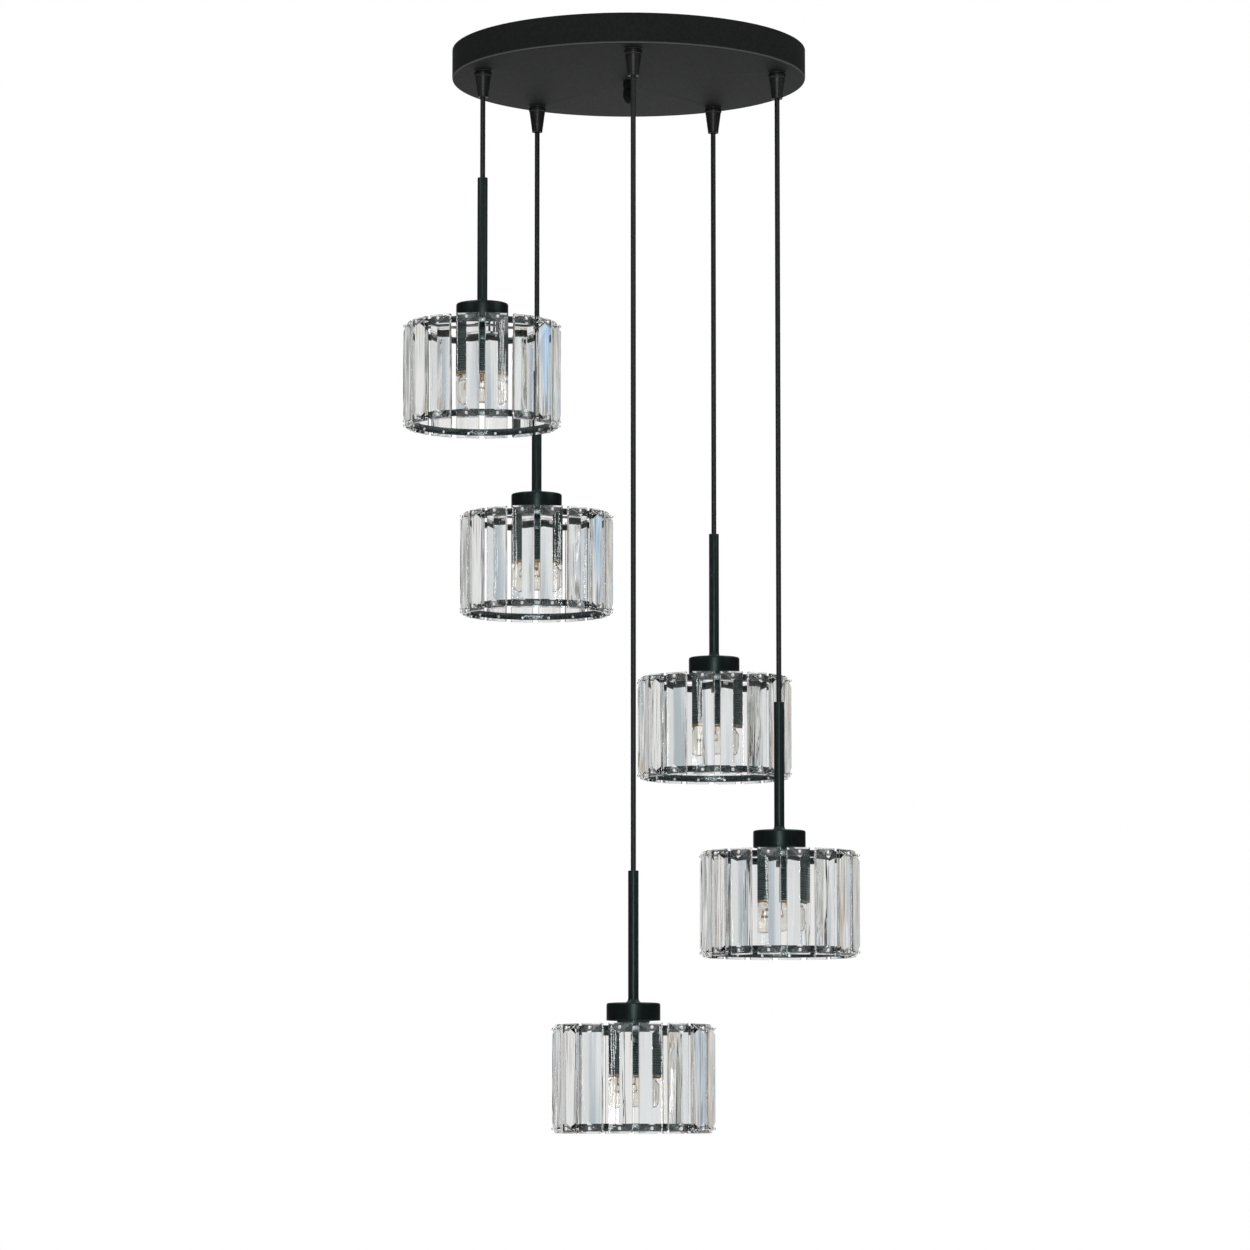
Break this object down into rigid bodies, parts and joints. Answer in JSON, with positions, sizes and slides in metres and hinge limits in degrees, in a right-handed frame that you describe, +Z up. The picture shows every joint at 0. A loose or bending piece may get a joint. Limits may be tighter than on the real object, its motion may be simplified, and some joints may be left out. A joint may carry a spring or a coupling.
{
  "type": "cluster pendant",
  "caption": "Round black canopy with drum-shaped crystal shades hung at stepped heights on cords and thin stems.",
  "frame": {"origin": "middle of the canopy's top, in the plane of the ceiling, midway between the two screw slots", "axes": "+Z up, square to the ceiling; -Y towards the front, where the longest pendant hangs; the bracket's slots lie along Y"},
  "size_m": [0.4426, 0.4284, 1.0695],
  "materials": {
    "canopy_paint": "fine-textured matt black powder coat",
    "cap_paint": "satin black powder coat",
    "stem_paint": "satin black powder coat",
    "band_paint": "satin black plating",
    "grip_plastic": "moulded black nylon",
    "cord_sheath": "smooth black sheath",
    "holder_plastic": "moulded black resin",
    "block_plastic": "moulded white nylon",
    "zinc_steel": "bright zinc plating",
    "socket_brass": "pressed brass",
    "bulb_glass": "clear glass",
    "crystal_glass": "clear cut crystal"
  },
  "bodies": {
    "canopy_body": {"canopy": "canopy_paint", "ceiling_bracket": "zinc_steel", "bracket_stud": "zinc_steel", "stud_nut": "zinc_steel", "cord_grips": "grip_plastic", "grip_nuts": "zinc_steel", "terminal_block": "block_plastic", "cord_tails": "cord_sheath"},
    "canopy_nut": {"canopy_nut": "canopy_paint"},
    "cord_1": {"cord_1": "cord_sheath"},
    "pendant_1": {"stem_1": "stem_paint", "cap_1": "cap_paint", "lampholder_1": "holder_plastic", "socket_shell_1": "socket_brass", "shade_nut_1": "holder_plastic", "top_ring_1": "band_paint", "bottom_ring_1": "band_paint", "crystals_1": "crystal_glass"},
    "bulb_1": {"bulb_1": "bulb_glass"},
    "cord_2": {"cord_2": "cord_sheath"},
    "pendant_2": {"stem_2": "stem_paint", "cap_2": "cap_paint", "lampholder_2": "holder_plastic", "socket_shell_2": "socket_brass", "shade_nut_2": "holder_plastic", "top_ring_2": "band_paint", "bottom_ring_2": "band_paint", "crystals_2": "crystal_glass"},
    "bulb_2": {"bulb_2": "bulb_glass"},
    "cord_3": {"cord_3": "cord_sheath"},
    "pendant_3": {"stem_3": "stem_paint", "cap_3": "cap_paint", "lampholder_3": "holder_plastic", "socket_shell_3": "socket_brass", "shade_nut_3": "holder_plastic", "top_ring_3": "band_paint", "bottom_ring_3": "band_paint", "crystals_3": "crystal_glass"},
    "bulb_3": {"bulb_3": "bulb_glass"},
    "cord_4": {"cord_4": "cord_sheath"},
    "pendant_4": {"stem_4": "stem_paint", "cap_4": "cap_paint", "lampholder_4": "holder_plastic", "socket_shell_4": "socket_brass", "shade_nut_4": "holder_plastic", "top_ring_4": "band_paint", "bottom_ring_4": "band_paint", "crystals_4": "crystal_glass"},
    "bulb_4": {"bulb_4": "bulb_glass"},
    "cord_5": {"cord_5": "cord_sheath"},
    "pendant_5": {"stem_5": "stem_paint", "cap_5": "cap_paint", "lampholder_5": "holder_plastic", "socket_shell_5": "socket_brass", "shade_nut_5": "holder_plastic", "top_ring_5": "band_paint", "bottom_ring_5": "band_paint", "crystals_5": "crystal_glass"},
    "bulb_5": {"bulb_5": "bulb_glass"}
  },
  "joints": [
    {"name": "canopy_nut_turn", "type": "hinge", "parent": "canopy_body", "child": "canopy_nut", "pos_m": [0, 0, -0.03], "axis": [0, 0, 1], "continuous": true},
    {"name": "swing_1", "type": "hinge", "parent": "canopy_body", "child": "cord_1", "pos_m": [-0.14456, -0.04697, -0.055], "axis": [0, 1, 0], "range_deg": [-5, 5]},
    {"name": "height_1", "type": "slide", "parent": "cord_1", "child": "pendant_1", "axis": [0, 0, 1], "range_m": [0, 0.065], "deforming": ["cord_1"]},
    {"name": "bulb_turn_1", "type": "hinge", "parent": "pendant_1", "child": "bulb_1", "pos_m": [-0.14456, -0.04697, -0.3315], "axis": [0, 0, 1], "continuous": true},
    {"name": "swing_2", "type": "hinge", "parent": "canopy_body", "child": "cord_2", "pos_m": [-0.08934, 0.12297, -0.055], "axis": [0, 1, 0], "range_deg": [-5, 5]},
    {"name": "height_2", "type": "slide", "parent": "cord_2", "child": "pendant_2", "axis": [0, 0, 1], "range_m": [0, 0.23], "deforming": ["cord_2"]},
    {"name": "bulb_turn_2", "type": "hinge", "parent": "pendant_2", "child": "bulb_2", "pos_m": [-0.08934, 0.12297, -0.4965], "axis": [0, 0, 1], "continuous": true},
    {"name": "swing_3", "type": "hinge", "parent": "canopy_body", "child": "cord_3", "pos_m": [0.08934, 0.12297, -0.055], "axis": [0, 1, 0], "range_deg": [-5, 5]},
    {"name": "height_3", "type": "slide", "parent": "cord_3", "child": "pendant_3", "axis": [0, 0, 1], "range_m": [0, 0.395], "deforming": ["cord_3"]},
    {"name": "bulb_turn_3", "type": "hinge", "parent": "pendant_3", "child": "bulb_3", "pos_m": [0.08934, 0.12297, -0.6615], "axis": [0, 0, 1], "continuous": true},
    {"name": "swing_4", "type": "hinge", "parent": "canopy_body", "child": "cord_4", "pos_m": [0.14456, -0.04697, -0.055], "axis": [0, 1, 0], "range_deg": [-5, 5]},
    {"name": "height_4", "type": "slide", "parent": "cord_4", "child": "pendant_4", "axis": [0, 0, 1], "range_m": [0, 0.58], "deforming": ["cord_4"]},
    {"name": "bulb_turn_4", "type": "hinge", "parent": "pendant_4", "child": "bulb_4", "pos_m": [0.14456, -0.04697, -0.8465], "axis": [0, 0, 1], "continuous": true},
    {"name": "swing_5", "type": "hinge", "parent": "canopy_body", "child": "cord_5", "pos_m": [0, -0.152, -0.055], "axis": [0, 1, 0], "range_deg": [-5, 5]},
    {"name": "height_5", "type": "slide", "parent": "cord_5", "child": "pendant_5", "axis": [0, 0, 1], "range_m": [0, 0.75], "deforming": ["cord_5"]},
    {"name": "bulb_turn_5", "type": "hinge", "parent": "pendant_5", "child": "bulb_5", "pos_m": [0, -0.152, -1.0165], "axis": [0, 0, 1], "continuous": true}
  ]
}
